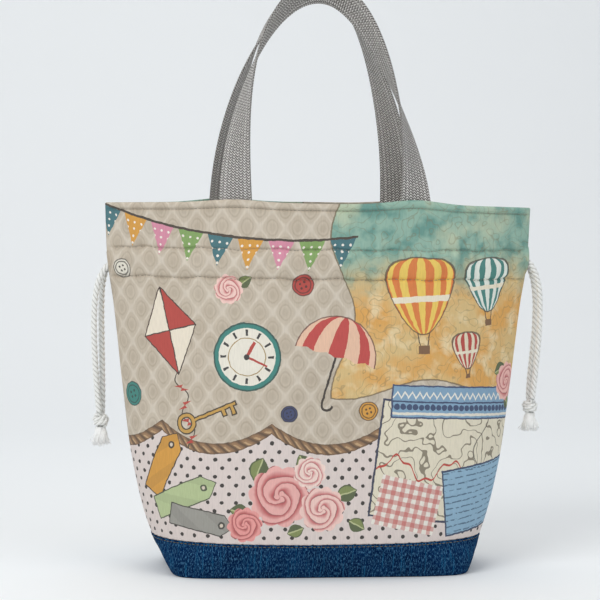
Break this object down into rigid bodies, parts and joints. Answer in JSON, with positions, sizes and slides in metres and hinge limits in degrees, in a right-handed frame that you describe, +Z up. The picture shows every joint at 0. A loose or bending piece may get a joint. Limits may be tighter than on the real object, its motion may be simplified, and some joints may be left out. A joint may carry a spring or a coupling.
{
  "type": "string bag",
  "caption": "Lined canvas tote bag with a denim base, webbing handles that fold outwards, and drawstrings in a casing near the mouth, knotted at each side.",
  "frame": {"origin": "middle of the base, on the surface the bag stands on", "axes": "+Z up, -Y towards the front face, +X towards the bag's right-hand side seam as seen from the front"},
  "size_m": [0.3567, 0.1324, 0.4523],
  "materials": {
    "printed_canvas": "matte printed cotton canvas",
    "denim": "matte slubby denim",
    "lining_cotton": "matte plain cotton",
    "stiffener_felt": "matte pressed felt",
    "webbing": "matte ribbed webbing",
    "cotton_cord": "matte twisted cord"
  },
  "bodies": {
    "bag": {"outer_front_panel": "printed_canvas", "outer_back_panel": "printed_canvas", "denim_base": "denim", "base_stiffener": "stiffener_felt", "lining_front_panel": "lining_cotton", "lining_back_panel": "lining_cotton", "lining_base": "lining_cotton", "front_handle_left_end": "webbing", "front_handle_right_end": "webbing", "back_handle_left_end": "webbing", "back_handle_right_end": "webbing", "left_cord_run": "cotton_cord", "right_cord_run": "cotton_cord"},
    "front_handle": {"front_handle_arch": "webbing"},
    "back_handle": {"back_handle_arch": "webbing"},
    "left_strands": {"left_front_strand": "cotton_cord", "left_back_strand": "cotton_cord"},
    "left_tail": {"left_knot": "cotton_cord", "left_tassel": "cotton_cord"},
    "right_strands": {"right_front_strand": "cotton_cord", "right_back_strand": "cotton_cord"},
    "right_tail": {"right_knot": "cotton_cord", "right_tassel": "cotton_cord"}
  },
  "joints": [
    {"name": "front_handle_fold", "type": "hinge", "parent": "bag", "child": "front_handle", "pos_m": [0, -0.045, 0.2824], "axis": [1, 0, 0], "range_deg": [0, 165]},
    {"name": "back_handle_fold", "type": "hinge", "parent": "bag", "child": "back_handle", "pos_m": [0, 0.045, 0.2824], "axis": [-1, 0, 0], "range_deg": [0, 165]},
    {"name": "left_tail_swing", "type": "hinge", "parent": "bag", "child": "left_strands", "pos_m": [-0.1632, 0, 0.2342], "axis": [0, 1, 0], "range_deg": [0, 70]},
    {"name": "left_cord_draw", "type": "slide", "parent": "left_strands", "child": "left_tail", "axis": [0, 0, -1], "range_m": [0, 0.05]},
    {"name": "right_tail_swing", "type": "hinge", "parent": "bag", "child": "right_strands", "pos_m": [0.16377, 0, 0.24], "axis": [0, -1, 0], "range_deg": [0, 70]},
    {"name": "right_cord_draw", "type": "slide", "parent": "right_strands", "child": "right_tail", "axis": [0, 0, -1], "range_m": [0, 0.05]}
  ]
}
